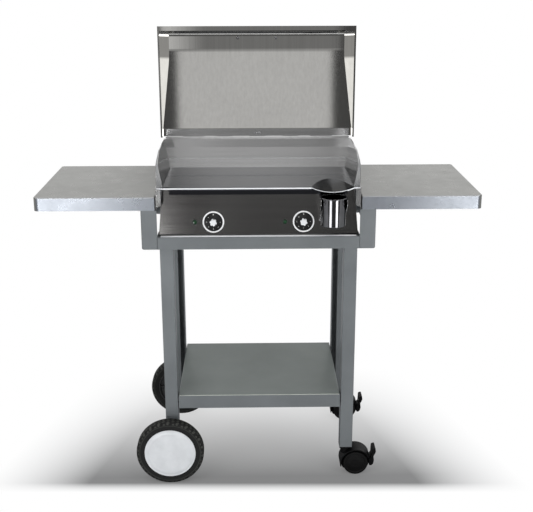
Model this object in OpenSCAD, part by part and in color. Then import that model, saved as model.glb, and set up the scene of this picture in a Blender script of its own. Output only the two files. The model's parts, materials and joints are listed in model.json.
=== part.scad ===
/* [Cart] */
// Width across the outer faces of the legs; the griddle follows it
cart_w = 560; // [500:5:640]
// Depth across the front and rear aprons
cart_d = 403; // [370:1:480]
// Height of the frame top above the floor
frame_top = 755; // [650:5:850]
// Height of the aprons and side rails
apron_h = 36; // [28:1:60]
// How far the frame stands out past the legs on each side
frame_out = 5; // [3:1:10]
// Thickness of the frame sheet
frame_t = 1.5; // [1:0.1:3]
// Inward top flange of the aprons and rails
frame_flange = 30; // [20:1:45]
// Inward bottom flange of the aprons and rails
frame_return = 12; // [6:1:20]

/* [Legs] */
// Side of the square leg section
leg_s = 38; // [30:1:45]
// Thickness of the leg sheet
leg_t = 1.5; // [1:0.1:3]
// Width of the lip that half closes the leg's inner face
leg_lip = 20.5; // [18:0.5:22]
// Height of the leg ends above the floor
leg_bottom = 90; // [80:1:94]

/* [Lower shelf] */
// Height of the shelf surface
shelf_top = 267; // [220:1:400]
// Height of the shelf's front and rear lips
shelf_lip = 41.5; // [25:0.5:60]
// Gap between the shelf and each leg
shelf_gap = 2.5; // [1:0.5:6]
// Thickness of the shelf sheet
shelf_t = 1.2; // [0.8:0.1:2]

/* [Side tables] */
// Height of the table surface
table_top = 871; // [840:1:900]
// Length of each side table
table_l = 337; // [240:1:420]
// Depth of each side table
table_d = 434; // [410:1:500]
// Height of the folded table lip
table_lip = 38.5; // [25:0.5:50]
// Corner radius at the outer ends
table_r = 15; // [6:1:40]
// Thickness of the table sheet
table_t = 1.2; // [0.8:0.1:2]
// Width of the bracket flange beside the frame
bracket_w = 45; // [35:1:70]
// Length of the bracket tab on the side rail
tab_l = 60; // [40:1:100]

/* [Wheels] */
// Diameter of the large wheels
wheel_d = 200; // [180:5:230]
// Width of the tyres
tyre_w = 36; // [28:1:50]
// Diameter of the flat wheel covers
cover_d = 151; // [120:1:160]
// Diameter of the axle rod
axle_d = 10; // [8:1:12]
// Distance from the outer leg face to the axle
axle_in = 13.4; // [10:0.1:15]
// Gap between the tyre and the leg
wheel_gap = 11; // [6:1:30]

/* [Casters] */
// Diameter of the caster wheels
caster_d = 75; // [60:1:80]
// Width over both caster wheels
caster_w = 54; // [44:1:60]
// Distance from the swivel axis to the wheel axis
caster_trail = 30; // [22:1:36]
// Width of the gap between the twin wheels
caster_gap = 13; // [10:1:18]

/* [Griddle body] */
// How much wider the casing is at its base than the cart's legs
body_spread = 4; // [0:1:6]
// How much wider the casing is at its top than the cooking plate
body_top_spread = 6; // [6:1:12]
// Distance from the apron face to the foot of the panel
body_y = 20; // [14:1:40]
// How far the panel leans back over its height
panel_lean = 13; // [0:1:30]
// Depth of the casing at its base
body_d = 280; // [260:1:340]
// Height of the rubber feet
foot_h = 3; // [2:0.5:12]
// Thickness of the casing sheet
body_t = 1.2; // [0.8:0.1:2]

/* [Cooking plate] */
// Height of the cooking surface
plate_top = 893; // [885:1:900]
// Distance from each outer leg face in to the side of the plate
plate_in = 12; // [8:0.5:20]
// Thickness of the cooking plate
plate_t = 5; // [3:0.5:8]
// Distance from the apron face to the nose of the plate
nose_y = 10; // [4:1:16]
// Height of the front nose
nose_h = 18; // [14:1:19]
// Distance from the apron face to the back of the plate
plate_back = 296; // [260:1:330]
// Width of the pouring dip
dip_w = 120; // [80:1:140]
// Depth of the pouring dip
dip_h = 13; // [6:1:13]

/* [Splash guard] */
// Height of the guard's top edge
guard_top = 979; // [940:1:1000]
// How much wider the side panels stand than the cooking plate
guard_spread = 37; // [30:1:41]
// Corner radius at the front of the side panels
guard_r = 26; // [10:1:30]
// Distance from the apron face to the top of the back splash
guard_back = 303; // [290:1:330]
// How far the side panels hang below the plate
skirt_h = 61; // [40:1:90]
// Thickness of the guard sheet
guard_t = 1.2; // [0.8:0.1:2]

/* [Hood] */
// How much wider the hood is at its rim than the side panels
hood_spread = 15; // [10:1:20]
// Length of the hood from hinge end to front wall
hood_l = 318; // [280:1:360]
// Depth of the hood at its front wall
hood_h = 118; // [90:1:150]
// Depth of the hood at the hinge
hood_back_h = 26; // [24:1:40]
// Height of the flat strip along the hinge
hood_strip = 24; // [20:1:40]
// How much each side wall leans in per millimetre of depth
hood_flare = 0.19; // [0:0.01:0.2]
// Height of the flange along the front edge
hood_flange = 12; // [6:1:20]
// Thickness of the hood sheet
hood_t = 1.2; // [0.8:0.1:2]
// Distance between the handle screws
handle_cc = 117; // [90:1:160]
// Diameter of the handle bar
handle_d = 11; // [8:1:16]
// Height of the handle above the hood
handle_h = 40; // [30:1:60]
// Distance from the front wall to the handle screws
handle_in = 30; // [28:1:80]

/* [Controls] */
// Distance from the cup in to the right dial
dial_in = 80.5; // [76:0.5:110]
// Height of the dials above the foot of the panel
dial_z = 35; // [34:1:60]
// Outer diameter of the white dial rings
ring_d = 61; // [50:1:66]
// Diameter of the black dial discs
dial_d = 52; // [40:1:56]
// Diameter of the bright grip in each dial
grip_d = 20; // [14:1:26]
// Distance from a dial to its lamp
lamp_off = 52.5; // [42:0.5:60]
// Diameter of the lamp lenses
lamp_d = 15; // [8:1:18]

/* [Grease cup] */
// Diameter of the cup
cup_d = 70; // [50:1:76]
// Height of the cup
cup_h = 80; // [50:1:90]
// Thickness of the cup wall
cup_t = 1; // [0.8:0.1:2]
// Gap between the cup rim and the nose of the plate
cup_drop = 2.5; // [2:0.5:6]

/* [Hidden] */
$fn = 48;
eps = 0.01;
fit = 0.05;
seat = 0.3;

// Planes measured from the outer face of the front apron, which is y = 0
side_x = cart_w / 2 + frame_out;
leg_x = cart_w / 2;
leg_in_x = leg_x - leg_s;
leg_y = frame_t + seat;
leg_top = frame_top - frame_t - seat;
rail_bottom = frame_top - apron_h;

plate_w = cart_w - 2 * plate_in;
body_w = cart_w + body_spread;
body_top_w = plate_w + body_top_spread;
guard_w = plate_w + guard_spread;
hood_w = guard_w + hood_spread;

shelf_x = leg_in_x - shelf_gap;
shelf_bolt_d = 6;
shelf_bolt_z = shelf_top - shelf_lip / 2;

guard_x = guard_w / 2;
table_gap = 3.5;
table_x = guard_x + table_gap;
table_bottom = table_top - table_lip;
bracket_x = side_x + bracket_w;
bracket_t = 2;
bracket_bolt_d = 6;

wheel_r = wheel_d / 2;
axle_x = -(leg_x - axle_in);
axle_r = axle_d / 2;
wheel_y = leg_y - wheel_gap - tyre_w;
cover_r = cover_d / 2;
boss_out = 4;
boss_end = tyre_w + boss_out;
axle_end = 4;
axle_end_y = wheel_y + axle_end;
clip_t = 2;
clip_l = 5.5;

swivel_x = leg_x - leg_s / 2;
swivel_y = leg_y + leg_s / 2;
stem_r = 5;
caster_r = caster_d / 2;
caster_hood_r = caster_r + 9.5;
caster_hood_t = 3.5;
caster_web = caster_gap - 1.6;
caster_top = leg_bottom - 4;
caster_axle_r = 4;
pedal_x = caster_trail + caster_r + 10.5;
pedal_z = caster_r + 10;
pedal_w = 38;
pedal_pin_r = 2;
ear_r = 5;

foot_r = 12;
body_z = frame_top + foot_h;
body_top = plate_top - plate_t - guard_t;
body_h = body_top - body_z;
body_back = body_y + body_d;
panel_angle = atan(panel_lean / body_h);

plate_x = plate_w / 2;
plate_bottom = plate_top - plate_t;
guard_foot_x = plate_x + seat;
guard_top_x = guard_x - 2 * guard_t - seat;
guard_foot_y = plate_back + seat;
ledge_w = 13;
wing_w = 14;
wing_y = nose_y - 5;
skirt_bottom = plate_top - skirt_h;
guard_front = wing_y + 17;
guard_rise_y = 130;

hinge_r = 3;
hinge_pin_r = 1.5;
hinge_z = guard_top + 2.5;
hood_x = hood_w / 2;
hood_y = guard_back - 3;
hood_z = hinge_z + hinge_r + 0.5;
hood_top = hood_z + hood_l;
leaf_t = 1.2;
hinge_y = hood_y + hood_back_h - hood_t - leaf_t - 0.1;
leaf_h = hood_strip - 2;
ledge_back = hinge_y - hinge_r - 0.6;
leaf_front = guard_back + 2;
knuckles = 11;
knuckle_gap = 0.6;
hinge_x = guard_top_x - 4;

handle_z = hood_top - handle_in;
hood_back_y = hood_y + hood_h;

cup_r = cup_d / 2;
cup_rim = 3;
cup_y = body_y - cup_r;
cup_top = plate_top - nose_h - cup_drop;
cup_bottom = cup_top - cup_h;
holder_t = 1.5;

// Whole object, front to back, so that the origin is under its middle
front_y = min(wheel_y - 2.5, cup_y - cup_r - cup_rim);
back_y = max(hood_back_y + handle_h + handle_d / 2, table_d);
mid_y = (front_y + back_y) / 2;

function unit(v) = v / norm(v);
function left_of(v) = [-v[1], v[0]];
function turn(a, b) = a[0] * b[1] - a[1] * b[0];
function reversed(p) = [for (i = [len(p) - 1:-1:0]) p[i]];
function side_in(p, i) = i > 0 ? unit(p[i] - p[i - 1]) : unit(p[1] - p[0]);
function side_out(p, i) = i < len(p) - 1 ? unit(p[i + 1] - p[i]) : side_in(p, i);
// Path moved sideways by t, mitred at its corners
function beside(p, t) = [
    for (i = [0:len(p) - 1])
        let (a = side_in(p, i), b = side_out(p, i))
            p[i] + (left_of(a) + left_of(b)) * t / (1 + a * b)
];
function around(p, i) = p[(i + len(p)) % len(p)];
function signed_area(p) = [for (i = [0:len(p) - 1]) turn(p[i], around(p, i + 1))]
    * [for (i = [0:len(p) - 1]) 0.5];
// Corner of a rounded outline: both tangent points and the arc's centre
function corner(p, i, r) =
    let (a = unit(around(p, i - 1) - p[i]), b = unit(around(p, i + 1) - p[i]),
        half = acos(a * b) / 2)
    [p[i] + a * r / tan(half), p[i] + b * r / tan(half), p[i] + unit(a + b) * r / sin(half)];
function is_outer(p, i) =
    turn(p[i] - around(p, i - 1), around(p, i + 1) - p[i]) * signed_area(p) > 0;

// Corner piece between an outline and the arc that rounds it
module spandrel(p, i, r) {
    c = corner(p, i, r);
    a = unit(c[0] - p[i]);
    b = unit(c[1] - p[i]);
    na = unit((a * b) * a - b) * 0.3;
    nb = unit((a * b) * b - a) * 0.3;
    difference() {
        polygon([c[0], c[0] + na, p[i] + (na + nb) / (1 + na * nb / 0.09), c[1] + nb, c[1]]);
        translate(c[2]) circle(r);
    }
}

// Outline with each corner rounded to its own radius
module rounded(p, r) {
    difference() {
        union() {
            polygon(p);
            for (i = [0:len(p) - 1])
                if (r[i] > 0 && !is_outer(p, i)) spandrel(p, i, r[i]);
        }
        for (i = [0:len(p) - 1])
            if (r[i] > 0 && is_outer(p, i)) spandrel(p, i, r[i]);
    }
}

// Cross-section of a folded sheet along a path, with its metal on the left for t > 0
module folded(p, t, r) {
    n = len(p);
    path_r = [for (i = [0:n - 1]) i == 0 || i == n - 1 ? 0
        : turn(side_in(p, i), side_out(p, i)) * t > 0 ? r + abs(t) : r];
    side_r = [for (i = [0:n - 1]) i == 0 || i == n - 1 ? 0
        : turn(side_in(p, i), side_out(p, i)) * t > 0 ? r : r + abs(t)];
    rounded(concat(p, reversed(beside(p, t))), concat(path_r, reversed(side_r)));
}

// Extrusions of an outline along each axis: (y, z), (x, z) and (x, y) outlines
module along_x(a, b) translate([a, 0, 0]) rotate([90, 0, 90]) linear_extrude(b - a) children();
module along_y(a, b) translate([0, b, 0]) rotate([90, 0, 0]) linear_extrude(b - a) children();
module along_z(a, b) translate([0, 0, a]) linear_extrude(b - a) children();

module box(a, b) translate(a) cube(b - a);
module rod_x(a, b, r) translate(a) rotate([0, 90, 0]) cylinder(h = b, r = r);
module rod_y(a, b, r) translate(a) rotate([-90, 0, 0]) cylinder(h = b, r = r);
module rod_z(a, b, r) translate(a) cylinder(h = b, r = r);
module at_right() mirror([1, 0, 0]) children();
module at_rear() translate([0, cart_d, 0]) mirror([0, 1, 0]) children();
module both_sides() {
    children();
    at_right() children();
}

// Pan folded down from a flat top, open below
module pan(a, b, lip, t, r, plan_r) {
    module block(i) {
        intersection() {
            along_y(a[1] + i, b[1] - i)
                rounded([[a[0] + i, b[2] - lip - i], [b[0] - i, b[2] - lip - i],
                    [b[0] - i, b[2] - i], [a[0] + i, b[2] - i]], [0, 0, r - i, r - i]);
            along_x(a[0] + i, b[0] - i)
                rounded([[a[1] + i, b[2] - lip - i], [b[1] - i, b[2] - lip - i],
                    [b[1] - i, b[2] - i], [a[1] + i, b[2] - i]], [0, 0, r - i, r - i]);
            along_z(b[2] - lip - i, b[2] - i)
                rounded([[a[0] + i, a[1] + i], [b[0] - i, a[1] + i],
                    [b[0] - i, b[1] - i], [a[0] + i, b[1] - i]],
                    [for (k = plan_r) k > 0 ? k - i : 0]);
        }
    }
    difference() {
        block(0);
        block(t);
    }
}

// Button-headed bolt along +z with its seat at z = 0 and its shank below
module bolt(d, l, head = 0.5) {
    rotate_extrude() polygon([[0, -l], [d / 2, -l], [d / 2, 0], [d * 0.95, 0],
        [d * 0.95, d * head * 0.3], [d * 0.55, d * head], [0, d * head]]);
}

// Legs: a square section folded from one sheet, with a slot down the inner face
function square_at(i) = [[-leg_x + i, leg_y + i], [-leg_in_x - i, leg_y + i],
    [-leg_in_x - i, leg_y + leg_s - i], [-leg_x + i, leg_y + leg_s - i]];

module leg_section() {
    slot = leg_s - leg_lip - leg_t;
    difference() {
        rounded(square_at(0), [2.7, 2.7, 0, 2.7]);
        rounded(square_at(leg_t), [1.2, 1.2, 0, 1.2]);
        translate([-leg_in_x - leg_t - slot, leg_y + leg_s - leg_t - 1]) square([slot, leg_t + 2]);
    }
}

module shelf_bolt_holes() {
    for (y = [swivel_y, cart_d - swivel_y])
        rod_x([-leg_in_x - 4, y, shelf_bolt_z], 10, shelf_bolt_d / 2 + fit);
}

module leg() {
    color([0.46, 0.47, 0.47])
        difference() {
            along_z(leg_bottom, leg_top) leg_section();
            shelf_bolt_holes();
        }
}

module wheel_leg() {
    color([0.46, 0.47, 0.47])
        difference() {
            leg();
            rod_y([axle_x, leg_y - 1, wheel_r], leg_s + 2, axle_r + fit);
        }
}

// Top frame
module apron() {
    leg_clear = leg_in_x - 1;
    color([0.48, 0.49, 0.49]) {
        along_x(-side_x, side_x)
            folded([[frame_flange, frame_top], [0, frame_top], [0, rail_bottom]], frame_t, 1);
        along_x(-leg_clear, leg_clear)
            folded([[frame_flange, frame_top], [0, frame_top], [0, rail_bottom],
                [frame_return, rail_bottom]], frame_t, 1);
    }
}

module bracket_bolt_holes() {
    for (y = [tab_l - 12, cart_d - tab_l + 12])
        rod_x([-side_x - 10, y, frame_top - apron_h / 2], 20, bracket_bolt_d / 2 + fit);
}

module side_rail() {
    leg_clear = leg_y + leg_s + 1;
    color([0.48, 0.49, 0.49])
        difference() {
            union() {
                box([-side_x, frame_t, rail_bottom],
                    [-side_x + frame_t, cart_d - frame_t, frame_top - frame_t]);
                along_y(frame_flange, cart_d - frame_flange)
                    folded([[-side_x + frame_flange, frame_top], [-side_x, frame_top],
                        [-side_x, rail_bottom]], frame_t, 1);
                along_y(leg_clear, cart_d - leg_clear)
                    folded([[-side_x + frame_flange, frame_top], [-side_x, frame_top],
                        [-side_x, rail_bottom], [-side_x + frame_return, rail_bottom]],
                        frame_t, 1);
            }
            bracket_bolt_holes();
        }
}

// Lower shelf
module lower_shelf() {
    color([0.5, 0.51, 0.5])
        difference() {
            pan([-shelf_x, 0, 0], [shelf_x, cart_d, shelf_top], shelf_lip, shelf_t, 2,
                [0, 0, 0, 0]);
            both_sides() shelf_bolt_holes();
        }
}

module shelf_bolts() {
    color([0.7, 0.7, 0.7])
        both_sides()
            for (y = [swivel_y, cart_d - swivel_y]) {
                translate([-leg_in_x - leg_t, y, shelf_bolt_z]) rotate([0, -90, 0])
                    bolt(shelf_bolt_d, leg_t + shelf_gap + shelf_t + 6);
                translate([-shelf_x + shelf_t, y, shelf_bolt_z]) rotate([0, 90, 0])
                    difference() {
                        cylinder(h = 4.5, d = 11, $fn = 6);
                        translate([0, 0, -eps]) cylinder(h = 5, r = shelf_bolt_d / 2 + fit);
                    }
                translate([-leg_in_x, y, shelf_bolt_z]) rotate([0, 90, 0])
                    difference() {
                        cylinder(h = shelf_gap, r = 6);
                        translate([0, 0, -eps])
                            cylinder(h = shelf_gap + 2 * eps, r = shelf_bolt_d / 2 + fit);
                    }
            }
}

// Side tables
module side_table() {
    color([0.66, 0.66, 0.64])
        pan([-table_x - table_l, 0, 0], [-table_x, table_d, table_top], table_lip, table_t, 2.5,
            [table_r, 0, 0, table_r]);
}

module table_bracket() {
    r = 6;
    tab_in = -side_x;
    front = 0;
    back = cart_d;
    outer = [[tab_in, tab_l], [tab_in, front], [-bracket_x, front], [-bracket_x, back],
        [tab_in, back], [tab_in, back - tab_l]];
    open_u = [outer[1], outer[2], outer[3], outer[4]];
    pad_w = 30;
    color([0.48, 0.49, 0.49])
        difference() {
            union() {
                along_z(rail_bottom, frame_top) folded(outer, -bracket_t, 1.5);
                along_z(frame_top - eps, table_bottom) folded(open_u, -bracket_t, 1.5);
                along_y(table_t + 2, back - table_t - 2)
                    folded([[-bracket_x, table_bottom - 10], [-bracket_x, table_top - table_t],
                        [-bracket_x + pad_w, table_top - table_t]], -bracket_t, 1.5);
            }
            along_y(front - 1, back + 1)
                difference() {
                    polygon([[-bracket_x - 1, rail_bottom - 1], [-bracket_x + r, rail_bottom - 1],
                        [-bracket_x + r, rail_bottom + r], [-bracket_x - 1, rail_bottom + r]]);
                    translate([-bracket_x + r, rail_bottom + r]) circle(r);
                }
            bracket_bolt_holes();
        }
}

module bracket_bolts() {
    color([0.7, 0.7, 0.7])
        both_sides()
            for (y = [tab_l - 12, cart_d - tab_l + 12]) {
                translate([-side_x - bracket_t, y, frame_top - apron_h / 2]) rotate([0, -90, 0])
                    bolt(bracket_bolt_d, bracket_t + frame_t + 7);
                translate([-side_x + frame_t, y, frame_top - apron_h / 2]) rotate([0, 90, 0])
                    difference() {
                        cylinder(h = 5, d = 11, $fn = 6);
                        translate([0, 0, -eps]) cylinder(h = 6, r = bracket_bolt_d / 2 + fit);
                    }
            }
}

// Large wheels: built along +z from the outer face, then laid on the axle
module on_axle() translate([axle_x, wheel_y, wheel_r]) rotate([-90, 0, 0]) children();

module wheel_axle() {
    color([0.75, 0.75, 0.76])
        rod_y([axle_x, axle_end_y, wheel_r], cart_d - 2 * axle_end_y, axle_r);
}

module axle_clips() {
    color([0.75, 0.75, 0.76]) {
        clip();
        at_rear() clip();
    }
}
module clip() {
    bore = axle_r + fit;
    outer = axle_r + 2 * clip_t;
    low = axle_end - clip_t;
    on_axle() rotate_extrude()
        polygon([[0, low], [axle_r + clip_t / 2, low], [outer, axle_end], [outer, low + clip_l],
            [bore, low + clip_l], [bore, axle_end - fit], [0, axle_end - fit]]);
}

module wheel_spacers() {
    color([0.3, 0.3, 0.3]) {
        spacer();
        at_rear() spacer();
    }
}
module spacer() {
    on_axle() rotate_extrude()
        polygon([[axle_r + fit, boss_end + seat], [axle_r + 4, boss_end + seat],
            [axle_r + 4, tyre_w + wheel_gap], [axle_r + fit, tyre_w + wheel_gap]]);
}

module tyre() {
    inner = cover_r + seat;
    tread = 2.5;
    ribs = [tyre_w * 0.3, tyre_w * 0.5, tyre_w * 0.7];
    lugs = 24;
    color([0.1, 0.1, 0.1])
        on_axle()
            difference() {
                rotate_extrude($fn = 96) difference() {
                    rounded([[inner, 1], [inner, tyre_w - 1], [wheel_r - 7, tyre_w],
                        [wheel_r, tyre_w - 5], [wheel_r, 5], [wheel_r - 7, 0]],
                        [1, 1, 5, 3, 3, 5]);
                    for (z = ribs) translate([wheel_r - tread, z - 1]) square([tread + 1, 2]);
                }
                for (i = [0:lugs - 1], s = [0, 1])
                    rotate([0, 0, (i + s / 2) * 360 / lugs])
                        translate([wheel_r - 5, -1.5, s == 0 ? -1 : tyre_w - 5])
                            cube([8, 3, 6]);
            }
}

module rim() {
    barrel = cover_r - 0.5;
    bore = axle_r + fit;
    ribs = 6;
    color([0.16, 0.16, 0.17])
        on_axle()
            difference() {
                union() {
                    rotate_extrude($fn = 96)
                        polygon([[barrel - 5, 4], [barrel + 0.6, 4], [barrel + 0.6, tyre_w - 3],
                            [barrel - 3, tyre_w - 3], [barrel - 5, 20], [16, 17], [13, boss_end],
                            [0, boss_end], [0, 8], [14, 8], [15, 14], [barrel - 5, 14]]);
                    for (i = [0:ribs - 1])
                        rotate([0, 0, i * 360 / ribs])
                            translate([8, -1.5, 16]) cube([barrel - 11, 3, 12]);
                }
                translate([0, 0, -1]) cylinder(h = boss_end + 2, r = bore);
            }
}

module wheel_cover() {
    color([0.84, 0.84, 0.85])
        on_axle() rotate_extrude($fn = 96)
            polygon([[0, -2.5], [cover_r - 12, -2.5], [cover_r - 4, -0.6], [cover_r, -0.6],
                [cover_r, 1], [cover_r - 2, 1], [cover_r - 2, 4], [cover_r - 4, 4],
                [cover_r - 4, 1], [cover_r - 12.3, -1], [0, -1]]);
}

// Casters: built about the swivel axis at x = 0, y = 0, with the wheels trailing along +x
module at_front_caster() translate([swivel_x, swivel_y, 0]) children();
module at_rear_caster() translate([swivel_x, cart_d - swivel_y, 0]) children();

module caster_sockets() {
    plug = leg_s - 2 * leg_t - 0.8;
    plug_h = 40;
    color([0.12, 0.12, 0.12])
        for (y = [swivel_y, cart_d - swivel_y])
            translate([swivel_x, y, 0])
                difference() {
                    union() {
                        box([-plug / 2, -plug / 2, leg_bottom - eps],
                            [plug / 2, plug / 2, leg_bottom + plug_h]);
                        box([-leg_s / 2, -leg_s / 2, leg_bottom - 3.5],
                            [leg_s / 2, leg_s / 2, leg_bottom]);
                    }
                    rod_z([0, 0, leg_bottom - 5], plug_h, stem_r + fit);
                }
}

module wheel_disc(r) translate([caster_trail, caster_r]) circle(r);

module caster_body() {
    cavity = caster_hood_r - caster_hood_t;
    far = 2 * caster_hood_r;
    web_low = 12;
    hood_w2 = caster_w / 2 + 0.5;
    stem_h = 32;
    color([0.1, 0.1, 0.1])
        difference() {
            union() {
                rod_z([0, 0, caster_top - 20], 20, 15);
                rod_z([0, 0, caster_top - 1], stem_h, stem_r);
                along_y(-hood_w2, hood_w2)
                    difference() {
                        wheel_disc(caster_hood_r);
                        polygon([[caster_trail - far, caster_r - far],
                            [caster_trail + far, caster_r - far],
                            [caster_trail + far, caster_r + far * 0.4625],
                            [caster_trail, caster_r],
                            [caster_trail - far, caster_r - far * 0.2]]);
                    }
                along_y(-caster_web / 2, caster_web / 2) {
                    difference() {
                        wheel_disc(cavity);
                        translate([caster_trail - far, caster_r - far])
                            square([2 * far, far - caster_r + web_low]);
                    }
                    difference() {
                        translate([pedal_x, pedal_z]) circle(ear_r);
                        translate([pedal_x, pedal_z]) circle(pedal_pin_r + fit);
                    }
                    difference() {
                        translate([pedal_x - 12, pedal_z - 4]) square([12, 8]);
                        translate([pedal_x, pedal_z]) circle(pedal_pin_r + fit);
                    }
                }
            }
            for (s = [-1, 1])
                translate([0, s * (caster_web / 2 + 20), 0])
                    along_y(-20, 20) wheel_disc(cavity);
            rod_y([caster_trail, -caster_web, caster_r], 2 * caster_web, caster_axle_r + fit);
        }
}

module caster_axle() {
    color([0.7, 0.7, 0.7])
        rod_y([caster_trail, 4 - caster_w / 2, caster_r], caster_w - 8, caster_axle_r);
}

module caster_wheels() {
    w = (caster_w - caster_gap) / 2;
    bore = caster_axle_r + fit;
    color([0.08, 0.08, 0.08])
        for (s = [-1, 1])
            translate([caster_trail, 0, caster_r]) rotate([-90 * s, 0, 0])
                translate([0, 0, caster_gap / 2])
                    rotate_extrude($fn = 72)
                        rounded([[bore, 0], [caster_r, 0], [caster_r, w - 2],
                            [caster_r - 7, w - 1], [caster_r - 9, w - 3], [14, w],
                            [0, w], [0, w - 3], [bore, w - 3]],
                            [0, 2.5, 4, 0, 0, 4, 0, 0, 0]);
}

module caster_brake() {
    cx = caster_trail;
    cz = caster_r;
    outline = [[cx + 42, cz - 8], [cx + 44, cz - 10.3], [cx + 48, cz - 11], [cx + 52, cz - 8.5],
        [cx + 55, cz - 4], [cx + 57, cz + 6], [cx + 55.5, cz + 20], [cx + 61, cz + 31.5],
        [cx + 62.2, cz + 36], [cx + 61, cz + 45], [cx + 58.5, cz + 46.8], [cx + 52, cz + 44.6],
        [cx + 50.5, cz + 42], [cx + 49.5, cz + 18], [cx + 42, cz + 10]];
    color([0.08, 0.08, 0.08]) {
        difference() {
            along_y(-pedal_w / 2, pedal_w / 2)
                polygon(outline);
            along_y(-caster_web / 2 - 0.4, caster_web / 2 + 0.4) {
                translate([pedal_x, pedal_z]) circle(ear_r + 1);
                translate([pedal_x - 20, pedal_z - 7]) square([20, 14]);
                translate([pedal_x - 20, pedal_z - 30]) square([40, 24.5]);
            }
        }
        rod_y([pedal_x, -pedal_w / 2 + 1, pedal_z], pedal_w - 2, pedal_pin_r);
    }
}

// Casing of the griddle
module casing_block(i) {
    lean = (body_w - body_top_w) / 2;
    top = i > 0 ? 1 : 0;
    wall = body_w / 2 - i;
    intersection() {
        along_y(body_y - 1, body_back - i)
            polygon([[-wall, body_z + i], [wall, body_z + i],
                [wall - lean, body_top + top], [-wall + lean, body_top + top]]);
        along_x(-body_w / 2, body_w / 2)
            polygon([[panel_y(body_z) + body_t * 1.01 - i * 3, body_z],
                [body_back, body_z], [body_back, body_top + top],
                [panel_y(body_top) + body_t * 1.01 - i * 3, body_top + top]]);
    }
}
function panel_y(z) = body_y + panel_lean * (z - body_z) / body_h;

// Frame of the sloping front panel: z runs up its face, y runs into the casing
module on_panel() {
    translate([0, body_y, body_z]) rotate([-panel_angle, 0, 0]) children();
}

module griddle_body() {
    color([0.3, 0.31, 0.32])
        difference() {
            casing_block(0);
            casing_block(body_t);
            for (i = [-6:6])
                along_y(body_back - 5, body_back + 5) translate([i * slot_pitch, body_z + slot_up]) {
                    square([14, 4], center = true);
                    for (s = [-7, 7]) translate([s, 0]) circle(2);
                }
            rod_y([gland_x, body_back - 5, gland_z], 10, gland_r + fit);
        }
}

module griddle_feet() {
    color([0.1, 0.1, 0.1])
        both_sides()
            for (y = [body_y + 25, body_back - 25])
                rod_z([side_x - frame_flange / 2 - 2, y, frame_top], foot_h, foot_r);
}

module control_panel() {
    face_h = body_h / cos(panel_angle);
    color([0.45, 0.46, 0.47])
        on_panel() difference() {
            along_y(0, body_t)
                polygon([[-body_w / 2, 0], [body_w / 2, 0], [body_top_w / 2, face_h],
                    [-body_top_w / 2, face_h]]);
            for (s = [-1, 1]) {
                rod_y([s * dial_x, -1, dial_z], 5, 4.5);
                rod_y([s * dial_x - lamp_off, -1, dial_z], 5, lamp_d / 2 - 1.5);
            }
            for (s = [-1, 1]) rod_y([cup_x + s * 22, -1, cup_screw_z], 5, 2.05);
            rotate([panel_angle, 0, 0]) translate([0, -body_y, -body_z]) dip_rod(dip_clear_r);
        }
}

gland_in = 82;
gland_up = 25;
gland_x = body_w / 2 - gland_in;
gland_z = body_z + gland_up;
gland_r = 7;
cord_r = 4;
slot_pitch = 25;
slot_up = 70;

module cable_gland() {
    y = body_back;
    color([0.08, 0.08, 0.08])
        translate([gland_x, y, gland_z]) rotate([-90, 0, 0]) rotate_extrude()
            polygon([[cord_r, -6], [9.5, -6], [9.5, -body_t], [gland_r, -body_t], [gland_r, 0],
                [10, 0], [10, 3], [7, 14], [cord_r, 14]]);
}

// Cooking plate, with the run-off channel at its right front corner
dip_half = dip_w / 2;
dip_r = (dip_half * dip_half + dip_h * dip_h) / (2 * dip_h);
dip_x = plate_x - dip_half;
cup_x = dip_x;
dial_x = cup_x - dial_in;
dip_len = 110;
dip_ahead = 60;
dip_clear_r = dip_r + plate_t + 0.6;

module dip_rod(r) {
    translate([dip_x, nose_y, plate_top - dip_h + dip_r]) rotate([-90 + atan(dip_h / dip_len), 0, 0])
        translate([0, 0, -dip_ahead]) cylinder(h = dip_len + dip_ahead + 20, r = r, $fn = 96);
}

module cooking_plate() {
    corner_x = plate_x - 19;
    corner_y = nose_y + 17;
    color([0.42, 0.42, 0.42])
        difference() {
            union() {
                along_x(-corner_x, corner_x)
                    folded([[corner_y + 1, plate_top], [nose_y, plate_top],
                        [nose_y, plate_top - nose_h]], plate_t, 1.5);
                box([-plate_x, corner_y, plate_bottom], [plate_x, plate_back, plate_top]);
                intersection() {
                    dip_rod(dip_r + plate_t);
                    union() {
                        box([dip_x - dip_half, corner_y, plate_bottom - dip_h],
                            [plate_x, nose_y + dip_len, plate_top]);
                        box([dip_x - dip_half, nose_y + eps, plate_top - nose_h],
                            [corner_x, corner_y + 1, plate_top - 1]);
                    }
                }
            }
            dip_rod(dip_r);
        }
}

// Splash guard: three raised sides round the plate
guard_side = [[guard_front + 8, plate_top + 2], [guard_front + 8, guard_top - 20.6],
    [guard_rise_y, guard_top - 1], [ledge_back, guard_top]];

module guard_block(i) {
    up = i > 0 ? 1 : 0;
    back = [[guard_foot_y, plate_bottom - guard_t], [guard_foot_y, plate_top],
        [plate_back + 3, plate_top + 27], [plate_back + 6, plate_top + 61],
        [guard_back, guard_top + up]];
    out = guard_t - i;
    foot = guard_foot_x + out;
    top = guard_top_x + out;
    rise = (top - foot) / (guard_top - plate_top);
    intersection() {
        along_y(guard_front, guard_back + 20)
            polygon([[-foot, plate_bottom - guard_t], [foot, plate_bottom - guard_t],
                [foot, plate_top], [top, guard_top], [top + rise * up, guard_top + up],
                [-top - rise * up, guard_top + up], [-top, guard_top], [-foot, plate_top]]);
        along_x(-guard_x, guard_x)
            polygon(concat([[guard_front - up, plate_bottom - guard_t]],
                [for (q = back) q + [out, 0]], [[guard_front - up, guard_top + up]]));
    }
}

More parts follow.
